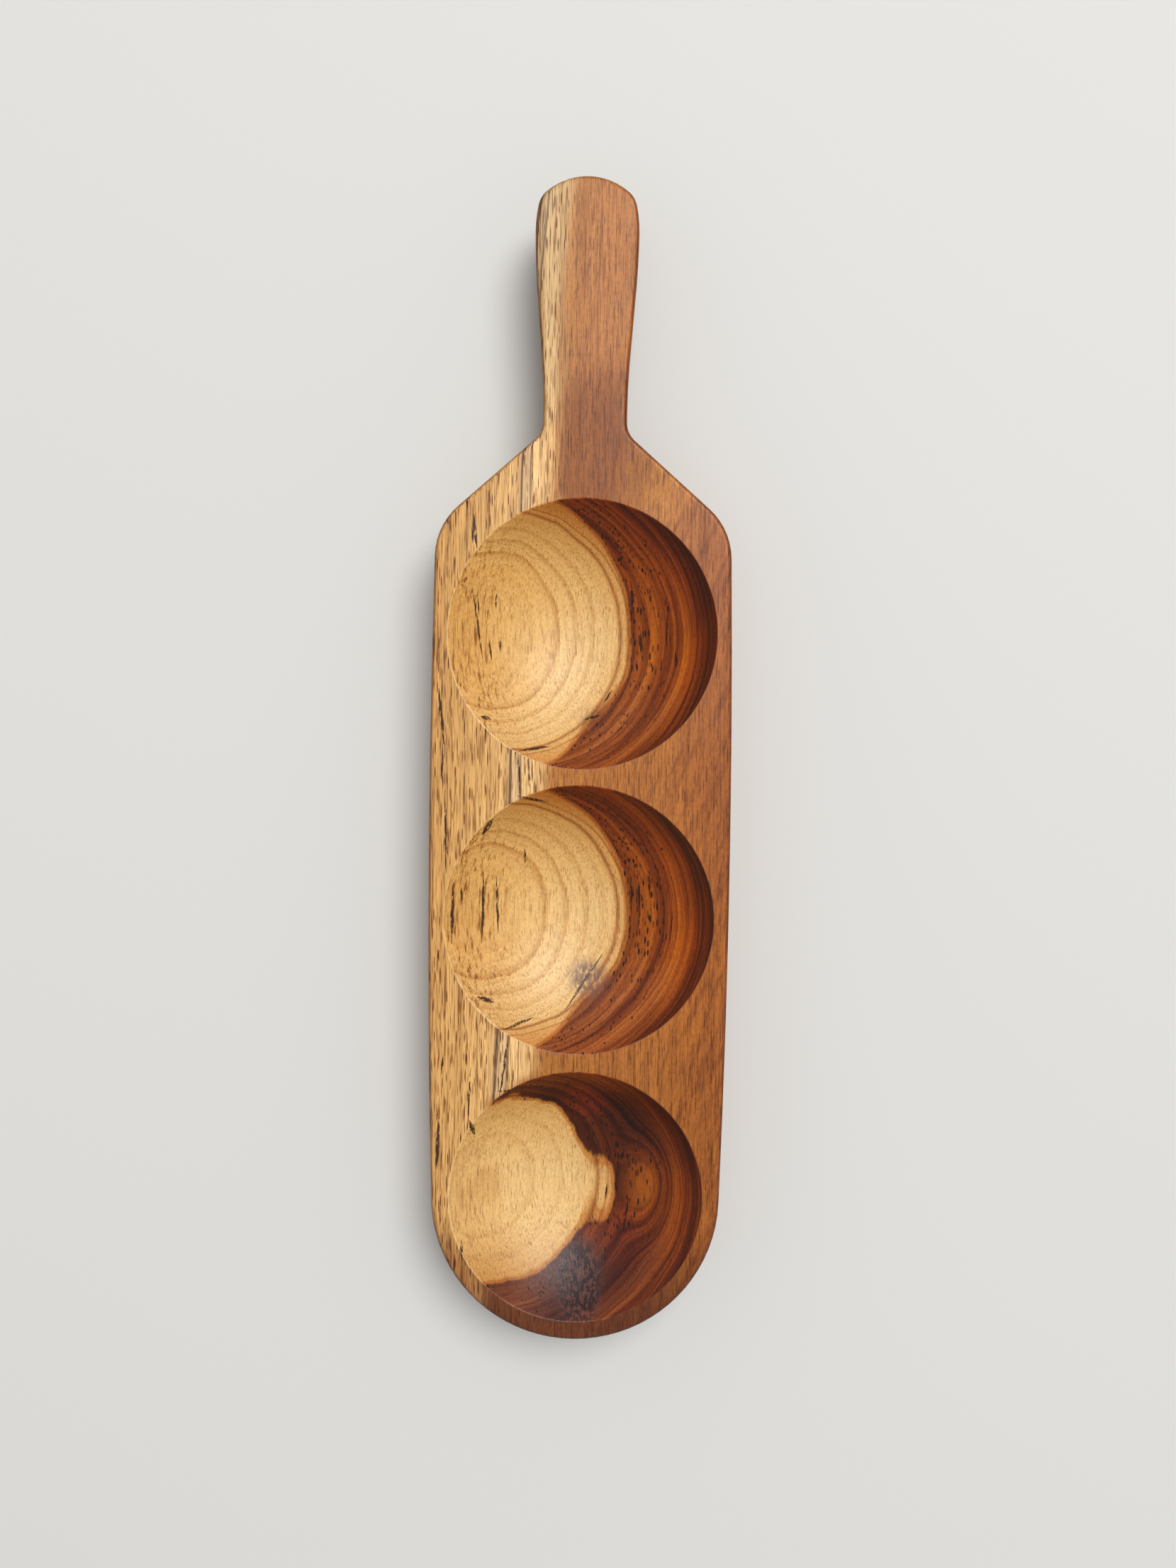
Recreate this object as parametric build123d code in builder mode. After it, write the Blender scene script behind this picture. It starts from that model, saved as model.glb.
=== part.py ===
from build123d import *

import os
from math import acos, degrees, sqrt

# A three-well chip and dip server, carved from one solid plank of hardwood. Millimetres.
# It lies on its back: +X is its right, +Y runs along it towards the handle and +Z comes out of its face.
# The origin is the middle of its bounding box's underside, so z = 0 is the surface that it rests on.

# ---- Driving dimensions ----
overall_length = 450.0  # foot to handle tip
board_thickness = 32.0  # the plank
handle_thickness = 18.0  # what is left of it along the handle
foot_radius = 56.5  # the round end
shoulder_half_width = 56.8  # half the board's width at the shoulders
shoulder_y = 92.8  # where the sides would meet the shoulders, if that corner were sharp
side_lean = 1.7  # degrees that each side leans out as it leaves the foot, so that it bows a little
neck_half_width = 16.1  # half the handle's width where it leaves the board
neck_y = 128.6  # where the shoulders would meet the handle, if that corner were sharp
grip_half_width = 19.8  # half the handle's greatest width
tip_radius = 24.5  # the arc across the handle's end
tip_half_width = 18.1  # where that arc meets the handle's sides

ball_radius = 67.6  # every well is the bowl that this ball makes
wells = {  # name: (how far its centre is from the middle of the server, the radius of its rim)
    "handle_well": (51.6, 51.8),
    "middle_well": (-59.0, 52.3),
    "foot_well": (-168.0, 49.5),
}

# ---- Where the handle's shape changes ----
neck_end_y = 136.0  # the handle starts to widen
grip_y = 204.0  # and is at its widest
relief_start_y = 84.0  # the underside starts to rise towards the handle
relief_end_y = 142.0  # and runs level again, along the handle

# ---- Rounded corners and edges ----
shoulder_round = 26.0
neck_round = 9.0
tip_round = 9.0
face_edge_round = 2.0
base_edge_round = 5.0
rim_round = 0.8

# ---- Working values ----
clearance = 10.0  # how far a cut runs past the plank
tolerance = 0.01  # how near two places count as the same
tip_y = overall_length / 2
foot_centre_y = foot_radius - overall_length / 2
relief_height = board_thickness - handle_thickness
relief_middle_y = (relief_start_y + relief_end_y) / 2
widening = (grip_y - neck_end_y) / 3  # a third of the handle's length that widens, for its soft curve
tip_angle = degrees(acos(tip_half_width / tip_radius))

# ---- The server ----
with BuildPart() as server_body:
    # Its outline: the right-hand half, from the foot round to the tip, and its mirror image.
    with BuildSketch() as outline:
        with BuildLine():
            foot = CenterArc((0, foot_centre_y), foot_radius, -90, 90 - side_lean)
            side = TangentArc(foot @ 1, (shoulder_half_width, shoulder_y), tangent=foot % 1)
            shoulder = Line(side @ 1, (neck_half_width, neck_y))
            neck = Line(shoulder @ 1, (neck_half_width, neck_end_y))
            grip = Bezier(
                neck @ 1,
                (neck_half_width, neck_end_y + widening),
                (grip_half_width, grip_y - widening),
                (grip_half_width, grip_y),
            )
            tip = CenterArc((0, tip_y - tip_radius), tip_radius, tip_angle, 90 - tip_angle)
            TangentArc(grip @ 1, tip @ 0, tangent=(0, 1))
            mirror(about=Plane.YZ)
        make_face()
        for corner, radius in (
            (side @ 1, shoulder_round),
            (shoulder @ 1, neck_round),
            (tip @ 0, tip_round),
        ):
            pair = outline.vertices().filter_by_position(Axis.Y, corner.Y - tolerance, corner.Y + tolerance)
            fillet(pair, radius)
    extrude(amount=board_thickness)

    # Its underside: flat under the wells, then rising in a soft step to the handle.
    with BuildSketch(Plane.YZ):
        with BuildLine():
            rise = Bezier(
                (relief_start_y, 0),
                (relief_middle_y, 0),
                (relief_middle_y, relief_height),
                (relief_end_y, relief_height),
            )
            level = Line(rise @ 1, (tip_y + clearance, relief_height))
            Polyline(level @ 1, (tip_y + clearance, -clearance), (relief_start_y, -clearance), rise @ 0)
        make_face()
    extrude(amount=shoulder_half_width + clearance, both=True, mode=Mode.SUBTRACT)

    # Its edges, softened before the wells are cut: small on the face, and larger all round the underside.
    face = server_body.faces().sort_by(Axis.Z)[-1]
    fillet(face.edges(), face_edge_round)
    underside = server_body.faces().filter_by(lambda f: f.normal_at().Z < 0)
    borders = underside.edges()
    outer_edge = [e for e in borders if sum(e.is_same(other) for other in borders) == 1]
    fillet(outer_edge, base_edge_round)

    # Its wells, and their lips.
    for centre_y, rim_radius in wells.values():
        lift = sqrt(ball_radius**2 - rim_radius**2)
        with Locations((0, centre_y, board_thickness + lift)):
            Sphere(ball_radius, mode=Mode.SUBTRACT)
        circles = server_body.edges().filter_by(GeomType.CIRCLE)
        fillet(circles.filter_by(lambda e: abs(e.radius - rim_radius) < tolerance), rim_round)

server_body.part.label = "server_body"
os.makedirs("parts", exist_ok=True)
export_step(server_body.part, "parts/server_body.step")

size = server_body.part.bounding_box().size
print(f"size {size.X:.2f} x {size.Y:.2f} x {size.Z:.2f}")
for name, (centre_y, rim_radius) in wells.items():
    depth = ball_radius - sqrt(ball_radius**2 - rim_radius**2)
    print(f"{name}: {depth:.2f} deep, with {board_thickness - depth:.2f} of wood under it")
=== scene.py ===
# %% [markdown]
# # A chip and dip server, carved from one plank
# The real server is a single piece of hardwood: a round-footed board with a paddle handle and three
# round wells cut into its face. Its shape comes ready made from the design model. This lesson is about
# what makes it look real: one block of wood whose rings, sapwood and heartwood run right through it, so
# that the face, the wells and the edges each show the same tree, cut another way.

# %% Load the design model, which stays exactly where it is
from math import cos, radians, sin, sqrt

import bmesh
import bpy
from mathutils import Matrix, Vector


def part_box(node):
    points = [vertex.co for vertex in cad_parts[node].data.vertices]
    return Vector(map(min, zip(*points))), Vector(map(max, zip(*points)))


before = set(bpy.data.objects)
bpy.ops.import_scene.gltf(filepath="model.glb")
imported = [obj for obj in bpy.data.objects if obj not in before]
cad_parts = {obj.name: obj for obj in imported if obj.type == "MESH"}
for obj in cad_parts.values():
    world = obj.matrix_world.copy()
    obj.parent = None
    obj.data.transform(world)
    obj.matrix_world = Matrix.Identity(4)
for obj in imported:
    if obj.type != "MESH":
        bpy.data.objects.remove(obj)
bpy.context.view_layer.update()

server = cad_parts["server_body"]
low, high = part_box("server_body")
FACE = high.z  # the height of the carved face
print("the server measures", [round(side * 1000, 1) for side in high - low], "mm")

# %% [markdown]
# ## The camera
# We look straight down on the face from less than half a metre, with the head tipped by under a degree.
# A camera looks along its own -Z axis, so its matrix is built from three directions: towards its right,
# towards its top, and back from the face to the eye.

# %% Put the camera over the face
AIM = Vector((0.0030, -0.0059, FACE))  # what it looks at
EYE = Vector((0.0030, 0.0115, FACE + 0.454))
TIP = radians(0.77)
SENSOR_WIDTH = 36  # millimetres, a full-frame sensor
LENS = 27.03  # millimetres, a moderate wide angle
NEAREST = 0.01  # metres, and nothing nearer is drawn

camera = bpy.data.objects.new("camera", bpy.data.cameras.new("camera"))
bpy.context.collection.objects.link(camera)
bpy.context.scene.camera = camera
camera.data.sensor_width = SENSOR_WIDTH
camera.data.lens = LENS
camera.data.clip_start = NEAREST
back = (EYE - AIM).normalized()
across = Vector((-sin(TIP), cos(TIP), 0)).cross(back).normalized()
camera.matrix_world = Matrix((across, back.cross(across), back)).transposed().to_4x4()
camera.location = EYE
print("the camera is", round((EYE - AIM).length, 3), "m from the face")

# %% [markdown]
# ## Colours
# Shaders work in linear light, but people name colours as they look on a screen or a paint chart. One
# helper turns the second kind into the first. Another makes a neutral tint: multiplied with a colour, a
# tint below 1 darkens it and a tint above 1 lightens it.


# %% Two ways to name a colour
def srgb(red, green, blue):
    """A colour from a paint chart's 0 to 255 values, as the linear values that shaders use."""
    chart = (red, green, blue)
    return tuple(((c / 255 + 0.055) / 1.055) ** 2.4 if c > 10 else c / 3295 for c in chart) + (1,)


def grey(value):
    """A neutral tint, for darkening or lightening a colour by multiplying."""
    return (value, value, value, 1)


print("mid grey is", round(srgb(128, 128, 128)[0], 3), "in linear light")

# %% [markdown]
# ## Writing a pattern as a formula
# A wood pattern is a long sum of small ideas: distances, noises and thresholds. It could be wired by hand
# in the editor, but hundreds of nodes are hard to read there. Here each method adds one kind of node to a
# tree, links or sets its inputs and hands back its output, so that each idea stays one line.


# %% The helper that writes formulas as nodes
class Pattern:
    """Adds nodes to a tree and links them, so that a pattern can be written as a formula."""

    def __init__(self, tree):
        self.tree = tree

    def connect(self, value, socket):
        """Links the socket to another one, or sets it to a plain value."""
        if isinstance(value, bpy.types.NodeSocket):
            self.tree.links.new(value, socket)
        else:
            socket.default_value = value

    def node(self, kind, inputs=(), **settings):
        """A new node, with its inputs given by name or by number."""
        made = self.tree.nodes.new("ShaderNode" + kind)
        for name, value in settings.items():
            setattr(made, name, value)
        for name, value in dict(inputs).items():
            self.connect(value, made.inputs[name])
        return made

    def use(self, group, **inputs):
        """A copy of a node group, with its inputs by name, and its first output."""
        named = {name.capitalize(): value for name, value in inputs.items()}
        return self.node("Group", named, node_tree=group).outputs[0]

    def math(self, operation, *values):
        return self.node("Math", enumerate(values), operation=operation).outputs[0]

    def add(self, first, *others):
        for other in others:
            first = self.math("ADD", first, other)
        return first

    def times(self, first, *others):
        for other in others:
            first = self.math("MULTIPLY", first, other)
        return first

    def most(self, first, *others):
        for other in others:
            first = self.math("MAXIMUM", first, other)
        return first

    def vector(self, operation, *values):
        made = self.node("VectorMath", enumerate(values), operation=operation)
        return made.outputs["Value" if operation in {"DISTANCE", "DOT_PRODUCT"} else "Vector"]

    def step(self, value, start, end, low=0.0, high=1.0):
        """Goes softly from low to high while the value goes from start to end, and is level outside them."""
        limits = {"Value": value, "From Min": start, "From Max": end, "To Min": low, "To Max": high}
        return self.node("MapRange", limits, interpolation_type="SMOOTHSTEP").outputs[0]

    def near(self, vector, centre, radius, core=0.0):
        """1 within the core of a ball, fading to 0 at its radius."""
        return self.step(self.vector("DISTANCE", vector, centre), radius, core)

    def noise(self, vector, size, detail=2.0, roughness=0.5, shift=(0, 0, 0)):
        """A noise from 0 to 1 whose blotches are about size[0] by size[1] by size[2] millimetres."""
        scale = [1 / s for s in size]
        placed = self.node("Mapping", {"Vector": vector, "Scale": scale, "Location": shift}).outputs[0]
        inputs = {"Vector": placed, "Scale": 1.0, "Detail": detail, "Roughness": roughness}
        return self.node("TexNoise", inputs).outputs["Fac"]

    def swing(self, noise, reach):
        """A noise turned into an offset of up to about the reach, either way."""
        return self.times(self.add(noise, -0.5), 2 * reach)

    def opposite(self, mask):
        """0 where the mask is 1, and 1 where it is 0."""
        return self.add(1.0, self.times(mask, -1.0))

    def mix(self, factor, first, second, blend="MIX"):
        """The first colour where the factor is 0, and the second, blended in, where it is 1."""
        made = self.node("Mix", data_type="RGBA", blend_type=blend)
        for socket, value in ((0, factor), (6, first), (7, second)):
            self.connect(value, made.inputs[socket])
        return made.outputs[2]

    def mix_value(self, factor, first, second):
        """The first value where the factor is 0, and the second where it is 1."""
        return self.add(first, self.times(factor, self.add(second, self.times(first, -1.0))))

    def tint(self, colour, factor, by):
        """The colour, multiplied by another one as strongly as the factor says."""
        return self.mix(factor, colour, by, "MULTIPLY")

    def ramp(self, value, stops):
        """A colour for each place along a value: stops are (place, colour) pairs in rising order."""
        start, end = stops[0][0], stops[-1][0]
        limits = {"Value": value, "From Min": start, "From Max": end}
        made = self.node("ValToRGB", {"Fac": self.node("MapRange", limits).outputs[0]})
        made.color_ramp.elements.remove(made.color_ramp.elements[1])
        made.color_ramp.elements[0].color = stops[0][1]
        for place, colour in stops[1:]:
            made.color_ramp.elements.new((place - start) / (end - start)).color = colour
        return made.outputs["Color"]


print("a pattern can do", len([name for name in vars(Pattern) if name[0] != "_"]), "things")

# %% [markdown]
# ## Node groups
# Pores and tracks are each used many times, with other values every time. A node group suits that: it is
# built once, its inputs have names, and changing it changes every copy. Ours always put out one mask, a
# value from 0 to 1 that says where the mark is.


# %% A helper for node groups
def new_group(name, inputs):
    """A group that puts out a mask: the group, its pattern, its inputs and the socket for the mask.

    The inputs are {label: value}, and a value that is a tuple makes a vector input.
    """
    group = bpy.data.node_groups.new(name, "ShaderNodeTree")
    for label, value in inputs.items():
        kind = "NodeSocketVector" if isinstance(value, tuple) else "NodeSocketFloat"
        group.interface.new_socket(label, in_out="INPUT", socket_type=kind).default_value = value
    group.interface.new_socket("Mask", in_out="OUTPUT", socket_type="NodeSocketFloat")
    given = group.nodes.new("NodeGroupInput").outputs
    return group, Pattern(group), given, group.nodes.new("NodeGroupOutput").inputs[0]


print("each group is made by", new_group.__name__)

# %% [markdown]
# ## Pores
# Hardwood is a bundle of tubes that run along the trunk. Cut lengthwise they are short dark dashes, and
# cut across they are dots. One pattern gives both: a Voronoi texture, stretched along the grain, has a
# long thin cell for each tube, and the mask is the small core of each cell. Apart and Along are the size
# of a cell in millimetres, Reach is how much of it the core takes, and Share is how many of the cells
# hold a tube. The cell's own random colour decides whether the tube is there and how dark it is.

# %% Make the pores group
CORE_EDGE = 0.65  # the share of its reach over which a core is fully dark

pores, p, given, mask = new_group(
    "pores", {"Point": (0, 0, 0), "Apart": 1.0, "Along": 8.0, "Reach": 0.2, "Share": 0.5}
)
cell_size = p.node("CombineXYZ", {0: given["Apart"], 1: given["Along"], 2: given["Apart"]}).outputs[0]
cells = p.node("TexVoronoi", {"Vector": p.vector("DIVIDE", given["Point"], cell_size), "Scale": 1.0})
chance = p.node("SeparateColor", {0: cells.outputs["Color"]}).outputs
is_there = p.math("LESS_THAN", chance[0], given["Share"])
core = p.step(cells.outputs["Distance"], given["Reach"], p.times(given["Reach"], CORE_EDGE))
p.connect(p.times(is_there, core, p.step(chance[1], 0, 1, 0.5, 1.0)), mask)
print(pores.name, "has", len(pores.nodes), "nodes")

# %% [markdown]
# ## Cracks and tracks
# A few black marks are not part of any repeating pattern: hairline cracks, and the tracks that a grub
# left in the living tree. Each is a thin line along the grain, seen from above, so its mask is the
# distance from a line between two points. The line is widest in its middle and tapers to its ends.

# %% Make the track group
track, p, given, mask = new_group(
    "track", {"Point": (0, 0, 0), "Start": (0, 0, 0), "End": (0, 1, 0), "Width": 0.5}
)
line = p.vector("SUBTRACT", given["End"], given["Start"])
here = p.vector("SUBTRACT", given["Point"], given["Start"])
share = p.math("DIVIDE", p.vector("DOT_PRODUCT", here, line), p.vector("DOT_PRODUCT", line, line))
share = p.math("MINIMUM", p.math("MAXIMUM", share, 0.0), 1.0)
nearest = p.node("VectorMath", {0: line, "Scale": share}, operation="SCALE").outputs[0]
from_middle = p.math("ABSOLUTE", p.add(share, -0.5))
half_width = p.times(given["Width"], p.step(from_middle, 0.1, 0.5, 0.62, 0.15))
p.connect(p.step(p.vector("DISTANCE", here, nearest), half_width, p.times(half_width, 0.4)), mask)
print(track.name, "has", len(track.nodes), "nodes")

# %% [markdown]
# ## The block of wood
# The material reads Object coordinates, which belong to the solid and not to its surface, so the pattern
# is carved along with the shape. They are turned into millimetres, with z = 0 at the face. Three noises,
# each far longer along the grain than across it, are the fibres: hairs, streaks and broad bands.

# %% Start the material
MM = 1000  # millimetres in a metre
HAIR = (0.4, 13.0, 0.4)  # the size of a blotch: across the board, along it and down into it
STREAK = (0.85, 36.0, 0.85)
BAND = (3.6, 150.0, 3.6)

wood = bpy.data.materials.new("oiled_hardwood")
wood.use_nodes = True
wood.node_tree.nodes.clear()
p = Pattern(wood.node_tree)
coordinates = p.node("TexCoord").outputs
to_mm = {"Vector": coordinates["Object"], "Scale": (MM, MM, MM), "Location": (0, 0, -FACE * MM)}
point = p.node("Mapping", to_mm).outputs[0]
x, y, z = p.node("SeparateXYZ", {0: point}).outputs
hair = p.noise(point, HAIR, 2, 0.65)
streak = p.noise(point, STREAK, 3, 0.65, (7, 3, 1))
band = p.noise(point, BAND, 3, 0.6, (2, 8, 5))
print("the finest fibres are about", HAIR[0], "mm thick and", HAIR[1], "mm long")

# %% [markdown]
# ## How high in the tree's rings
# Every point of the block lies on one growth ring. The rings here are nearly flat sheets that slope down
# to the left, bow gently along the board and curve with depth, so a polynomial can give each point a
# ring height: the higher, the deeper inside the tree it grew. A well cuts through the sheets and shows
# them as circles, while the face shows them as long stripes. Slow noise makes them wander and the hairs
# fray them.

# %% Give every point its ring height
along = p.times(y, 0.01)  # in steps of 100 mm, so that its powers stay small
squared = p.times(along, along)
bow = p.add(
    p.times(squared, p.add(p.times(along, -0.275), 0.366)),
    p.times(squared, squared, -0.151),
    p.times(along, -0.43),
    p.step(y, 130, 230, 0.0, 2.6),  # the sheets lift once more along the handle
)
slope = p.add(p.times(z, 0.00346), p.times(x, -0.00146), p.times(along, 0.0328), 0.421)
rise = p.times(z, p.add(p.times(z, 0.01065), 1.0))
wander = p.add(
    p.swing(p.noise(point, (60, 90, 60), 1), 1.2),
    p.swing(p.noise(point, (13, 45, 13), 1), 0.6),
    p.swing(hair, 0.35),
)
ring_height = p.add(rise, p.times(x, slope), bow, wander)
print("ring heights go from about -40, low on the left, to about +20, at the right of the face")

# %% [markdown]
# ## Sapwood and heartwood
# The outer, living wood is pale and the old wood inside it is brown. The edge between them follows the
# rings only roughly: away from the foot it drifts with depth, and it swells out in the lower walls of the
# two larger wells. In the foot of the board the brown has crept out over several younger rings, up to a
# jagged edge with a tongue of pale wood on its right.

# %% Find the edge of the heartwood
HEART_EDGE = (-5.8, -5.3)  # ring heights: all pale below the first, all brown above the second

at_foot = p.step(y, -116, -132)
crept = p.add(
    7.1,
    p.step(x, 3, 15, 0.0, -3.4),
    p.swing(p.noise(point, (4, 14, 4), 3), 0.7),
    p.times(p.near(point, (11, -148, -15), 24), 1.7),
)
deeper = p.add(
    p.times(z, -0.22),
    p.times(p.near(point, (3, 18, -14), 28), 2.4),
    p.times(p.near(point, (0, -97, -13), 28), 2.6),
)
shift = p.add(p.times(at_foot, crept), p.times(p.opposite(at_foot), deeper))
heart_height = p.add(ring_height, shift)
heart = p.step(heart_height, *HEART_EDGE)
print("the heartwood starts at a height of", sum(HEART_EDGE) / 2)

# %% [markdown]
# ## Where the wells are
# The wells were scraped across the grain and the face was sanded along it, so the same wood looks
# smooth and golden in a well and streaky on the face. Each well is part of a ball, so a point is on a
# well's surface where its distance from that ball's centre is the ball's radius. The normal says which
# way a surface faces: a well's left wall faces right, and the wall nearest the foot faces the handle.

# %% Mask the wells
BALL = 67.6  # the radius of the ball that every well is part of
WELLS = ((51.6, 51.8), (-59.0, 52.3), (-168.0, 49.5))  # each centre along the board, and its rim's radius
SKIN = (0.35, 0.05)  # how far behind a well's surface its mask ends, and starts to fade

in_well = p.most(*[
    p.near(point, (0, centre, sqrt(BALL**2 - rim**2)), BALL + SKIN[0], BALL + SKIN[1])
    for centre, rim in WELLS
])
faces_right, faces_handle, faces_out = p.node("SeparateXYZ", {0: coordinates["Normal"]}).outputs
print(len(WELLS), "wells, up to", round(BALL - sqrt(BALL**2 - WELLS[1][1]**2), 1), "mm deep")

# %% [markdown]
# ## The wells' sapwood
# A ramp along the ring height gives the pale gold its slow change, and the thin brown line of an old
# injury near -12 with a fainter one beside it.

# %% Colour the wells' sapwood
sap = p.ramp(ring_height, [
    (-40, srgb(214, 162, 92)), (-28, srgb(222, 176, 108)), (-24, srgb(227, 184, 119)),
    (-20, srgb(231, 193, 134)), (-15, srgb(228, 190, 132)), (-12.8, srgb(224, 182, 120)),
    (-12.15, srgb(164, 102, 50)), (-11.7, srgb(214, 166, 104)), (-10.9, srgb(220, 174, 112)),
    (-10.5, srgb(178, 118, 62)), (-10.2, srgb(214, 162, 98)), (-8, srgb(208, 150, 86)),
])
print("the wells' sapwood has its colour")

# %% [markdown]
# ## Years in the sapwood
# In a year's late wood the ring darkens slowly, and then it ends sharply. Five years are drawn one by
# one, each with its own strength. Between them, narrow faint years repeat: the fraction of a rising
# number is a saw-tooth, and a ramp over one tooth draws them all. In the foot the wood is calmer.

# %% Draw the sapwood's years
YEARS = ((-24.4, 0.12), (-21.6, 1.0), (-19.2, 0.8), (-16.5, 0.65), (-14.2, 0.3))  # ring height, strength
LATE = (0.66, 0.48, 0.28)  # the tint of the strongest late wood
SMALL_YEARS = 0.93  # how many of them there are in one millimetre of ring height

stops = [(-28, grey(1))]
for height, strength in YEARS:
    late = tuple(1 - strength * (1 - c) for c in LATE) + (1,)
    stops += [(height - 0.9, grey(1)), (height - 0.08, late), (height + 0.16, grey(1.03))]
stops.append((-12, grey(1)))
calm = p.step(at_foot, 0, 1, 1.0, 0.45)
sap = p.tint(sap, p.times(calm, p.step(streak, 0.25, 0.7, 0.4, 1.0)), p.ramp(ring_height, stops))

uneven = p.swing(p.noise(point, (30, 30, 30), 1), 1.2)
small_years = p.math("FRACT", p.add(p.times(ring_height, SMALL_YEARS), uneven))
small_ramp = p.ramp(small_years, [
    (0, grey(1.02)), (0.6, grey(0.99)), (0.92, (0.86, 0.79, 0.70, 1)), (1, grey(1.0)),
])
sap = p.tint(sap, p.times(calm, p.step(band, 0.3, 0.7, 0.15, 0.8)), small_ramp)
print(len(YEARS), "years drawn one by one in the sapwood")

# %% [markdown]
# ## The tone of the sapwood
# The left walls are cut almost along the grain: they are toasted in fine brown dashes and a little deeper
# in colour. The lowest wall of the foot well is darker too, and a thin brown line borders the heartwood.

# %% Tone the sapwood
toast = p.ramp(p.noise(point, (1.4, 20, 1.4), 3, 0.65, (5, 5, 5)), [
    (0.36, (0.44, 0.28, 0.12, 1)), (0.46, grey(0.98)), (0.64, grey(1.08)),
])
sap = p.tint(sap, p.times(calm, p.step(faces_right, 0.3, 0.65, 0.1, 1.0)), toast)
sap = p.tint(sap, p.step(y, -182, -203), (0.80, 0.68, 0.52, 1))
sap = p.tint(sap, 1.0, (0.93, 0.92, 0.87, 1))
left_wall = p.step(p.add(faces_right, p.times(faces_handle, 0.4)), 0.35, 0.75)
sap = p.tint(sap, left_wall, (0.88, 0.79, 0.68, 1))
sap = p.tint(sap, p.step(heart_height, -6.5, -6.0), (0.72, 0.50, 0.30, 1))
print("the sapwood is toned")

# %% [markdown]
# ## The wells' heartwood
# Here the rings are close and uneven, so a noise that is read along the ring height, and hardly changes
# any other way, gives bands of its own accord. On the foot well's right wall a bump in the sheets closes
# them into loops. By a second ramp the wood gets a little lighter at first, and then much darker, the
# deeper inside the tree it grew.

# %% Colour the wells' heartwood
loop_shape = p.node("Mapping", {"Vector": point, "Scale": (1, 0.5, 0.6)}).outputs[0]
loops = p.near(loop_shape, (31, -84, -9), 17)
old_height = p.add(ring_height, p.times(loops, -8.0))
read_at = p.node("CombineXYZ", {0: old_height, 1: p.times(y, 0.006), 2: p.times(x, 0.012)}).outputs[0]
old = p.ramp(p.add(p.noise(read_at, (2.3, 1, 1), 4, 0.62), p.swing(streak, 0.09)), [
    (0.30, srgb(84, 32, 4)), (0.42, srgb(116, 50, 6)), (0.53, srgb(148, 72, 10)), (0.68, srgb(176, 96, 20)),
])
old = p.tint(old, 1.0, p.ramp(ring_height, [
    (-13, grey(0.80)), (-5, (1.04, 1.04, 1.1, 1)), (2, (1.12, 1.04, 0.9, 1)),
    (8, (0.62, 0.44, 0.28, 1)), (14, (0.32, 0.20, 0.15, 1)),
]))
print("the wells' heartwood has its colour")

# %% [markdown]
# ## Years in the heartwood
# The saw-tooth again, with wider teeth and a stronger ramp. The bands make some years clear and let
# others fade.

# %% Draw the heartwood's years
OLD_YEARS = 0.46  # how many of them there are in one millimetre of ring height

uneven = p.swing(p.noise(read_at, (5, 1, 1), 2), 1.5)
years = p.math("FRACT", p.add(p.times(old_height, OLD_YEARS), uneven))
year_ramp = p.ramp(years, [
    (0, grey(1.12)), (0.3, grey(1.05)), (0.6, (0.90, 0.88, 0.86, 1)),
    (0.9, (0.56, 0.48, 0.44, 1)), (1, grey(1.05)),
])
old = p.tint(old, p.step(band, 0.35, 0.65, 0.6, 1.0), year_ramp)
print("a heartwood year is about", round(1 / OLD_YEARS, 1), "mm of ring height")

# %% [markdown]
# ## Light and dark in the heartwood
# The foot well is darkest near the edge of the heartwood, and painted shade darkens its wall towards the
# upper right, which faces away from the window. It is lighter in its loops, below the pale tongue, at its
# lower right and just under its top lip. The foot's inner wood also stays lighter than the ramp made it. In
# every well the right wall's rim is lifted a little, a painted blue-grey reflection of the window lies on
# the wall nearest the foot, and painted shade deepens the wall nearest the handle.

# %% Shade the heartwood
LIGHTER_SPOTS = (  # centre, radius and tint
    ((17, -188, -18), 20, (1.9, 1.7, 1.2, 1)),
    ((3, -133, -12), 14, (2.4, 1.9, 1.3, 1)),
    ((0, -190, -18), 12, (1.9, 1.8, 1.9, 1)),
)

old = p.tint(old, p.times(at_foot, p.step(ring_height, 2, 8)), (1.7, 1.9, 2.0, 1))
darkness = p.times(at_foot, p.add(1.0, p.times(loops, -0.6)))
darkness = p.times(darkness, p.step(heart_height, 11, 4, 0.55, 1.0), p.step(x, -24, -6, 0.4, 1.0))
old = p.tint(old, darkness, (0.32, 0.24, 0.46, 1))
# painted shade: the foot well's wall towards the upper right faces away from the window and is darkened
upper_right_shade = p.times(at_foot, p.step(faces_handle, -0.05, -0.3), p.step(faces_right, -0.1, -0.4))
old = p.tint(old, upper_right_shade, (0.62, 0.58, 0.75, 1))
for centre, radius, lighter in LIGHTER_SPOTS:
    old = p.tint(old, p.near(point, centre, radius), lighter)
right_wall = p.add(p.times(faces_right, -1.0), p.times(faces_handle, 0.35))
right_rim = p.times(p.step(right_wall, 0.60, 0.72), p.step(at_foot, 0, 1, 1.0, 0.5))
old = p.tint(old, right_rim, (1.6, 1.7, 1.3, 1))
# painted reflection: a blue-grey sheen of the window on each well's wall nearest the foot
old = p.tint(old, p.step(faces_handle, 0.1, 0.5), (0.84, 0.96, 3.8, 1))
# painted shade: each well's wall nearest the handle faces away from the window and is darkened
old = p.tint(old, p.step(faces_handle, -0.3, -0.6), (0.72, 0.68, 0.75, 1))
print(len(LIGHTER_SPOTS), "lighter spots in the foot well")

# %% [markdown]
# ## Fine grain in the wells
# Both woods meet at the heartwood's edge, and hairs and a fine speckle are laid over them. They are the
# cut ends and sides of fibres, which hold a little more oil than the wood between them.

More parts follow.
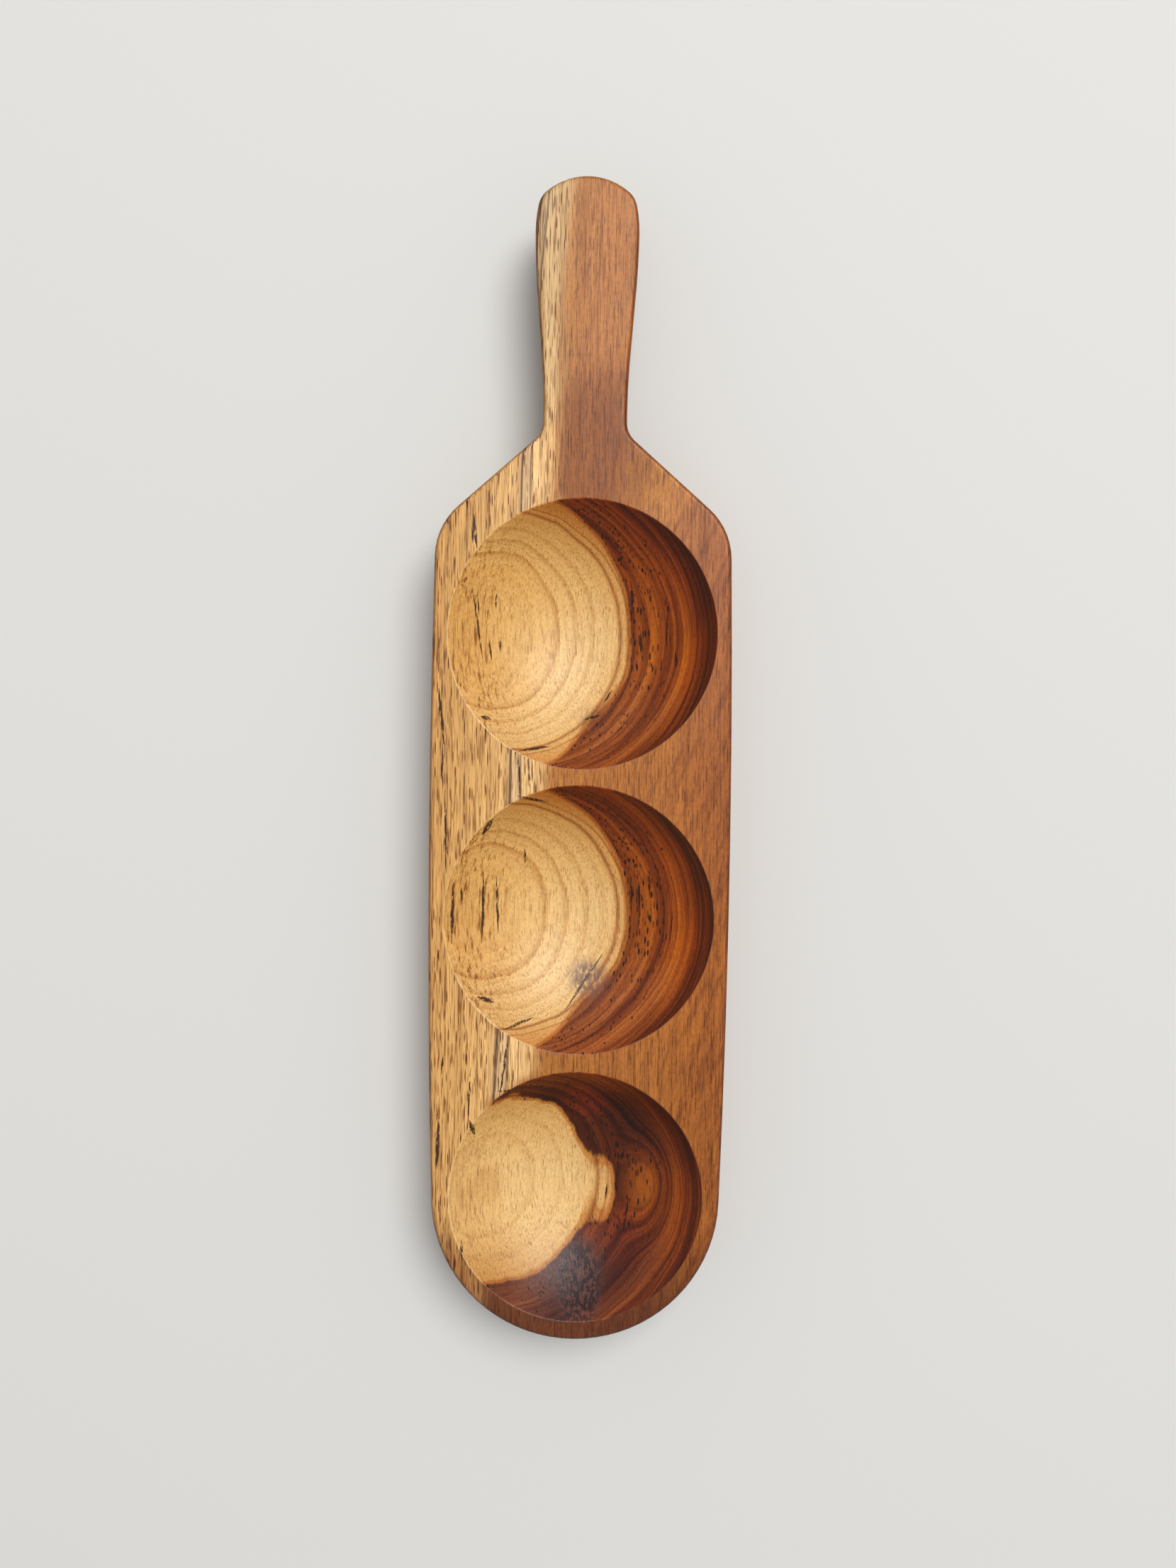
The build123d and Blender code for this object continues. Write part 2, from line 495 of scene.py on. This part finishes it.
# %% Join the two woods in the wells
well = p.mix(heart, sap, old)
hairs = [(0.30, (0.72, 0.64, 0.54, 1)), (0.47, grey(0.97)), (0.7, grey(1.06))]
well = p.tint(well, p.step(heart, 0, 1, 0.9, 0.6), p.ramp(hair, hairs))
speckle = p.noise(point, (0.5, 1.2, 0.5), 1, 0.5, (4, 4, 4))
specks = [(0.3, (0.74, 0.66, 0.56, 1)), (0.5, grey(0.99)), (0.7, grey(1.08))]
well = p.tint(well, 0.6, p.ramp(speckle, specks))
print("the wells are coloured")

# %% [markdown]
# ## Painted shade on the walls nearest the handle
# The wall of a well nearest the handle faces away from the window, and more shade is painted into its
# colour there, so that wall is deeper in colour than the opposite one.

# %% Paint shade on the walls nearest the handle
# painted shade: the walls that face the foot, nearest the handle, are darkened
painted_wall_shade = p.ramp(faces_handle, [
    (-0.75, (0.80, 0.58, 0.28, 1)), (-0.35, (0.96, 0.87, 0.70, 1)), (-0.05, grey(1.0)),
])
well = p.tint(well, 1.0, painted_wall_shade)
print("the walls nearest the handle are deeper")

# %% [markdown]
# ## The face
# The same heights again, in the greyer and browner colours of sanded long grain. The old injury shows as
# two dark lines with a paler strip between them, then comes a pale strip and then the brown, whose edge
# is frayed by the streaks.

# %% Colour the face
sap_face = p.ramp(ring_height, [
    (-36, srgb(184, 136, 78)), (-26, srgb(198, 152, 91)), (-18, srgb(207, 163, 102)),
    (-14.2, srgb(214, 172, 112)), (-12.8, srgb(204, 164, 112)), (-12.4, srgb(66, 38, 22)),
    (-12.0, srgb(210, 176, 130)), (-10.9, srgb(216, 182, 136)), (-10.6, srgb(100, 66, 40)),
    (-10.3, srgb(224, 186, 130)), (-7.6, srgb(228, 188, 130)), (-5, srgb(214, 168, 110)),
])
old_face = p.ramp(ring_height, [
    (-14, srgb(166, 105, 47)), (-5, srgb(174, 113, 52)), (2, srgb(172, 108, 48)),
    (14, srgb(166, 102, 44)), (19, srgb(154, 92, 42)),
])
frayed = p.add(heart_height, p.swing(streak, 5.0))
pale = p.step(frayed, -4.0, -7.2)
brown = p.opposite(pale)
long_grain = p.mix(pale, old_face, sap_face)
print("the face has its two woods")

# %% [markdown]
# ## The long grain
# Bands, streaks and hairs are laid over the face one after another, each as a tint. They are stronger on
# the pale wood than on the brown.

# %% Lay the fibres over the face
BAND_TINTS = [(0.32, (0.80, 0.73, 0.66, 1)), (0.47, grey(0.96)), (0.64, (1.08, 1.07, 1.06, 1))]
STREAK_TINTS = [(0.35, (0.42, 0.31, 0.22, 1)), (0.42, (0.88, 0.82, 0.76, 1)), (0.58, (1.06, 1.06, 1.04, 1))]
HAIR_TINTS = [(0.34, (0.42, 0.30, 0.20, 1)), (0.44, (0.90, 0.85, 0.79, 1)), (0.60, grey(1.10))]

strength = p.step(pale, 0, 1, 0.72, 1.0)
for noise, tints in ((band, BAND_TINTS), (streak, STREAK_TINTS), (hair, HAIR_TINTS)):
    long_grain = p.tint(long_grain, strength, p.ramp(noise, tints))
print("three sizes of fibre are laid over the face")

# %% [markdown]
# ## Figure and mottle
# The brown half has a broad slanting figure, where the fibres lean towards us and away, and it is mottled
# all over. The noise that draws the figure is turned a little, and it grows stronger towards the right.

# %% Add the figure and the mottle
LEAN = 24  # degrees that the figure is turned from the grain

slant = p.node("Mapping", {"Vector": point, "Rotation": (0, 0, radians(LEAN))}).outputs[0]
figure = p.noise(slant, (3.0, 34.0, 9.0), 3, 0.55, (1, 5, 2))
figure_ramp = p.ramp(figure, [(0.32, (0.70, 0.62, 0.60, 1)), (0.5, grey(1.0)), (0.68, (1.12, 1.12, 1.0, 1))])
long_grain = p.tint(long_grain, p.times(brown, p.step(x, 8, 40, 0.25, 0.9)), figure_ramp)
mottle = p.noise(point, (1.1, 1.8, 1.1), 2, 0.6, (9, 1, 1))
mottle_ramp = p.ramp(mottle, [(0.32, (0.80, 0.74, 0.68, 1)), (0.5, grey(1.0)), (0.68, grey(1.08))])
long_grain = p.tint(long_grain, p.times(brown, 0.8), mottle_ramp)
print("the figure is turned by", LEAN, "degrees")

# %% [markdown]
# ## Patches on the face
# A golden patch lies on the right shoulder and a dark one on the neck. The right-hand edge is a little
# deeper in colour, and along the board each wood changes by stages: the foot is the darkest.

# %% Lay the patches over the face
STAGES = (  # from where to where along the board, in which wood, and the tint
    (140, 185, brown, (0.98, 1.0, 0.98, 1)),
    (-80, -130, brown, (0.90, 0.90, 0.92, 1)),
    (-176, -218, brown, (0.34, 0.26, 0.40, 1)),
    (-170, -200, pale, (0.50, 0.38, 0.32, 1)),
    (122, 150, pale, (0.78, 0.80, 0.82, 1)),
)

long_grain = p.tint(long_grain, p.near(point, (29, 112, 0), 26), (1.34, 1.55, 0.95, 1))
long_grain = p.tint(long_grain, p.step(x, 26, 50), (0.96, 0.89, 0.76, 1))
at_neck = p.near(point, (4, 124, 0), 40, 16)
long_grain = p.tint(long_grain, p.times(at_neck, brown), (0.62, 0.50, 0.32, 1))
for start, end, which_wood, stage in STAGES:
    long_grain = p.tint(long_grain, p.times(p.step(y, start, end), which_wood), stage)
print(len(STAGES), "stages along the board")

# %% [markdown]
# ## Edges and sides
# The rounded edges are darker than the face. A ramp
# along how far a surface faces out darkens the roundings most and the upright sides a little, and leaves
# the face alone.

# %% Darken the edges, and join the face to the wells
edge_ramp = p.ramp(faces_out, [
    (0.0, grey(0.9)), (0.3, (0.60, 0.46, 0.36, 1)), (0.7, (0.48, 0.34, 0.24, 1)), (0.94, grey(1.0)),
])
long_grain = p.tint(long_grain, 1.0, edge_ramp)
colour = p.mix(in_well, long_grain, well)
print("the surface is whole")

# %% [markdown]
# ## Pores and pinholes
# Two sizes of pores go over everything: strongest on the pale face, weaker on the brown and weakest in
# the wells. Black pinholes, which are the same group with rounder cells, crowd just inside the
# heartwood's edge.

# %% Draw the pores and flecks
fine = p.use(pores, point=point, apart=0.75, along=8.0, reach=0.38, share=0.65)
bold = p.use(pores, point=point, apart=1.1, along=16.0, reach=0.28, share=0.55)
on_pale = p.step(pale, 0, 1, 0.6, 0.95)
colour = p.tint(colour, p.times(fine, p.mix_value(in_well, on_pale, 0.4)), srgb(128, 80, 44))
colour = p.tint(colour, p.times(bold, p.mix_value(in_well, on_pale, 0.15)), srgb(116, 68, 36))
crowd = p.times(p.step(heart_height, -6.3, -4.9), p.step(heart_height, 6, -4), in_well, 0.65)
crowd = p.times(crowd, p.step(faces_handle, 0.4, 0.1, 0.35, 1.0))
flecks = p.use(pores, point=point, apart=1.2, along=4.6, reach=0.44, share=crowd)
colour = p.mix(flecks, colour, srgb(34, 12, 3))
print("the pores group is used", pores.users, "times")

# %% [markdown]
# ## The tracks, one by one
# The tracks are the marks that make this board recognisable, so they are a list: each goes from a start
# to an end, in millimetres from the middle of the board, and has a width. They sway a little, a noise
# breaks them up, and they only mark surfaces that look out of the face.

# %% Draw the tracks
TRACKS = (
    # the upper well: its left wall, then the heartwood's edge
    ((-43, 69), (-39, 42), 0.9), ((-34, 68), (-34.5, 63), 1.0), ((-33, 51), (-32.6, 46), 1.1),
    ((-37, 50), (-35.8, 42), 0.8), ((-41, 66), (-40.6, 60), 0.7), ((19.1, 74), (20.5, 61), 1.2),
    ((22.5, 57), (24.4, 43), 1.6), ((33.4, 63), (33.6, 46), 0.7), ((36.8, 46), (37.2, 40), 1.5),
    ((1, 19.2), (7.5, 21), 1.6), ((9, 26), (12, 31), 0.9), ((-38.6, 19.6), (-35, 18.6), 1.8),
    ((-24, 6.6), (-12, 8.2), 1.3),
    # the middle well
    ((-38, -42), (-38.5, -70), 1.3), ((-33, -44), (-32.4, -67), 1.1), ((-49, -46), (-49.4, -69), 1.5),
    ((-46, -47), (-46.2, -54), 0.8), ((-21.8, -33), (-22, -39), 0.9), ((-37.6, -26), (-33.6, -20), 2.2),
    ((-39, -90), (-33, -92.5), 1.9), ((20.9, -44), (21.2, -58), 1.4), ((20.8, -60), (20.4, -68), 1.0),
    ((24, -46), (24.4, -58), 1.0), ((28, -42), (28.6, -52), 0.8), ((37.4, -57), (36.5, -70), 0.7),
    ((9.8, -76), (-4.5, -96.5), 1.3), ((-28.5, -102.2), (-17, -99), 1.2),
    ((-24, -10.8), (-12.6, -13.6), 1.2),
    # the foot well
    ((17.5, -162), (16.3, -172), 1.5), ((21.6, -175), (19.6, -188), 1.2), ((13, -170), (12.5, -176), 0.9),
    ((-41.6, -138), (-39.6, -144.5), 1.8), ((-44.5, -186), (-43.6, -194), 1.0),
    ((-30.6, -126), (-24, -126), 1.0),
    # the face, down its left edge
    ((-42.4, 97), (-40.8, 84), 1.7), ((-45, 104), (-44.4, 99), 0.9), ((-55, 30), (-52.8, 9), 1.5),
    ((-53.4, 9), (-53.2, -8), 0.9), ((-52.2, -9), (-51.6, -41), 1.0), ((-53.4, -137), (-54.2, -157), 1.9),
    ((-41.2, -117), (-42.2, -141), 0.8), ((-52, -112), (-52.8, -120), 0.9),
    ((-42.7, 92), (-42.4, 86), 0.9),
    # the cracks between the wells
    ((-26.6, -104), (-29.8, -129), 1.1), ((-24.2, 6), (-23, -12), 0.9), ((-20.3, 5), (-19.2, -9), 0.6),
)

sway = p.node("TexNoise", {"Vector": point, "Scale": 0.22, "Detail": 2.0}).outputs["Color"]
swayed = p.vector("ADD", point, p.vector("SUBTRACT", sway, (0.5, 0.5, 0.5)))
seen_from_above = p.vector("MULTIPLY", swayed, (1, 1, 0))
drawn = p.most(*[
    p.use(track, point=seen_from_above, start=(*start, 0), end=(*end, 0), width=width)
    for start, end, width in TRACKS
])
broken = p.step(p.noise(point, (0.6, 4.0, 0.6), 2), 0.36, 0.44)
drawn = p.times(drawn, broken, p.step(z, -27, -26), p.step(faces_out, 0.4, 0.6))
colour = p.mix(p.times(drawn, 0.95), colour, srgb(44, 18, 6))
print(len(TRACKS), "tracks drawn")

# %% [markdown]
# ## Stains
# Where the injury surfaced, a blue-grey stain spread through the wood along the fibres: a large one at
# the bottom of the foot well, with dark ink in its pores, a small one in the middle well and only a
# breath of it in the upper one.

# %% Stain the wood
patch_shape = p.node("Mapping", {"Vector": point, "Scale": (1, 0.6, 0.4)}).outputs[0]
large_stain = p.times(p.near(patch_shape, (2, -124, -5), 12, 6), heart, in_well)
colour = p.mix(p.times(large_stain, 0.4), colour, srgb(100, 68, 64))
ink = p.noise(point, (1.3, 8.0, 1.3), 3, 0.65, (3, 3, 3))
colour = p.mix(p.times(large_stain, p.step(ink, 0.45, 0.51), 0.92), colour, srgb(30, 14, 14))
smoke = p.step(p.noise(point, (1.1, 6.0, 1.1), 3, 0.6), 0.30, 0.58)
small_stain = p.times(p.near(point, (4, -85, -19), 11, 3), smoke, in_well)
colour = p.mix(p.times(small_stain, 0.92), colour, srgb(104, 76, 70))
faint_stain = p.times(p.near(point, (4, 20, -15), 9), smoke, in_well)
colour = p.tint(colour, faint_stain, (0.6, 0.6, 0.75, 1))
print("three stains laid")

# %% [markdown]
# ## The finish
# A satin oil: the shader's roughness changes a little with the streaks, and a Bump node lets the pores
# and flecks sink in by a hair. The level of its mirror-like reflection is low, because oil soaks in.

# %% Finish the material
SHINE = 0.27
BUMP_STRENGTH = 0.25
BUMP_DEPTH = 0.0002  # metres

relief = p.add(p.times(hair, 0.5), p.times(fine, -0.5), p.times(bold, -0.6), p.times(flecks, -1.0))
sunk = {"Height": relief, "Strength": BUMP_STRENGTH, "Distance": BUMP_DEPTH}
bump = p.node("Bump", sunk).outputs[0]
roughness = p.step(streak, 0.3, 0.7, 0.42, 0.34)
finish = {"Base Color": colour, "Roughness": roughness, "Specular IOR Level": SHINE, "Normal": bump}
shader = p.node("BsdfPrincipled", finish)
p.connect(shader.outputs[0], p.node("OutputMaterial").inputs[0])
for surface in server.material_slots:
    surface.link = "OBJECT"
    surface.material = wood
print(wood.name, "has", len(wood.node_tree.nodes), "nodes")

# %% [markdown] ## A floor to lie on The server lies on a big plain square of matt, pale paint, which
# catches its soft shadow.

# %% Lay the floor
FLOOR_HALF = 3  # metres from its middle to each side
FLOOR_COLOUR = srgb(203, 202, 199)
MATT = 0.9

floor = bpy.data.objects.new("floor", bpy.data.meshes.new("floor"))
shape = bmesh.new()
bmesh.ops.create_grid(shape, x_segments=1, y_segments=1, size=FLOOR_HALF)
shape.to_mesh(floor.data)
shape.free()
bpy.context.collection.objects.link(floor)
paint = bpy.data.materials.new("pale_floor")
paint.use_nodes = True
painted = paint.node_tree.nodes["Principled BSDF"].inputs
painted["Base Color"].default_value = FLOOR_COLOUR
painted["Roughness"].default_value = MATT
floor.data.materials.append(paint)
print("the floor is", 2 * FLOOR_HALF, "m wide")

# %% [markdown]
# ## The light of the room
# White walls send light from every side, a little warmer than pure white. That keeps the shadows open.

# %% Fill the room with light
ROOM_COLOUR = (1, 0.995, 0.985, 1)
ROOM_STRENGTH = 0.52

world = bpy.data.worlds.new("room")
bpy.context.scene.world = world
world.use_nodes = True
around = world.node_tree.nodes["Background"].inputs
around["Color"].default_value = ROOM_COLOUR
around["Strength"].default_value = ROOM_STRENGTH
print("the room's light has a strength of", ROOM_STRENGTH)

# %% [markdown]
# ## The light from a window
# One large round lamp stands for a window: it is up beyond the handle and to the right. It puts the shadow
# along the left side, and a soft sheen on the lower half of each well, where the oiled wood faces it. The
# Standard view keeps the wood's colours as they are, where the default one would dull them.

# %% Open the window
TOWARDS_WINDOW = Vector((0.32, 0.50, 1.0)).normalized()
WINDOW_DISTANCE = 4.4  # metres
WINDOW_WIDTH = 2.8
WINDOW_POWER = 180  # watts

window = bpy.data.objects.new("window", bpy.data.lights.new("window", "AREA"))
window.data.shape = "DISK"
window.data.size = WINDOW_WIDTH
window.data.energy = WINDOW_POWER
window.location = TOWARDS_WINDOW * WINDOW_DISTANCE
window.rotation_mode = "QUATERNION"
window.rotation_quaternion = TOWARDS_WINDOW.to_track_quat("Z", "Y")
bpy.context.collection.objects.link(window)
bpy.context.scene.view_settings.view_transform = "Standard"
print("the window gives", window.data.energy, "watts")

# %% [markdown] Nothing above has moved or reshaped the design model, so its box must be the same as it
# was at the start.
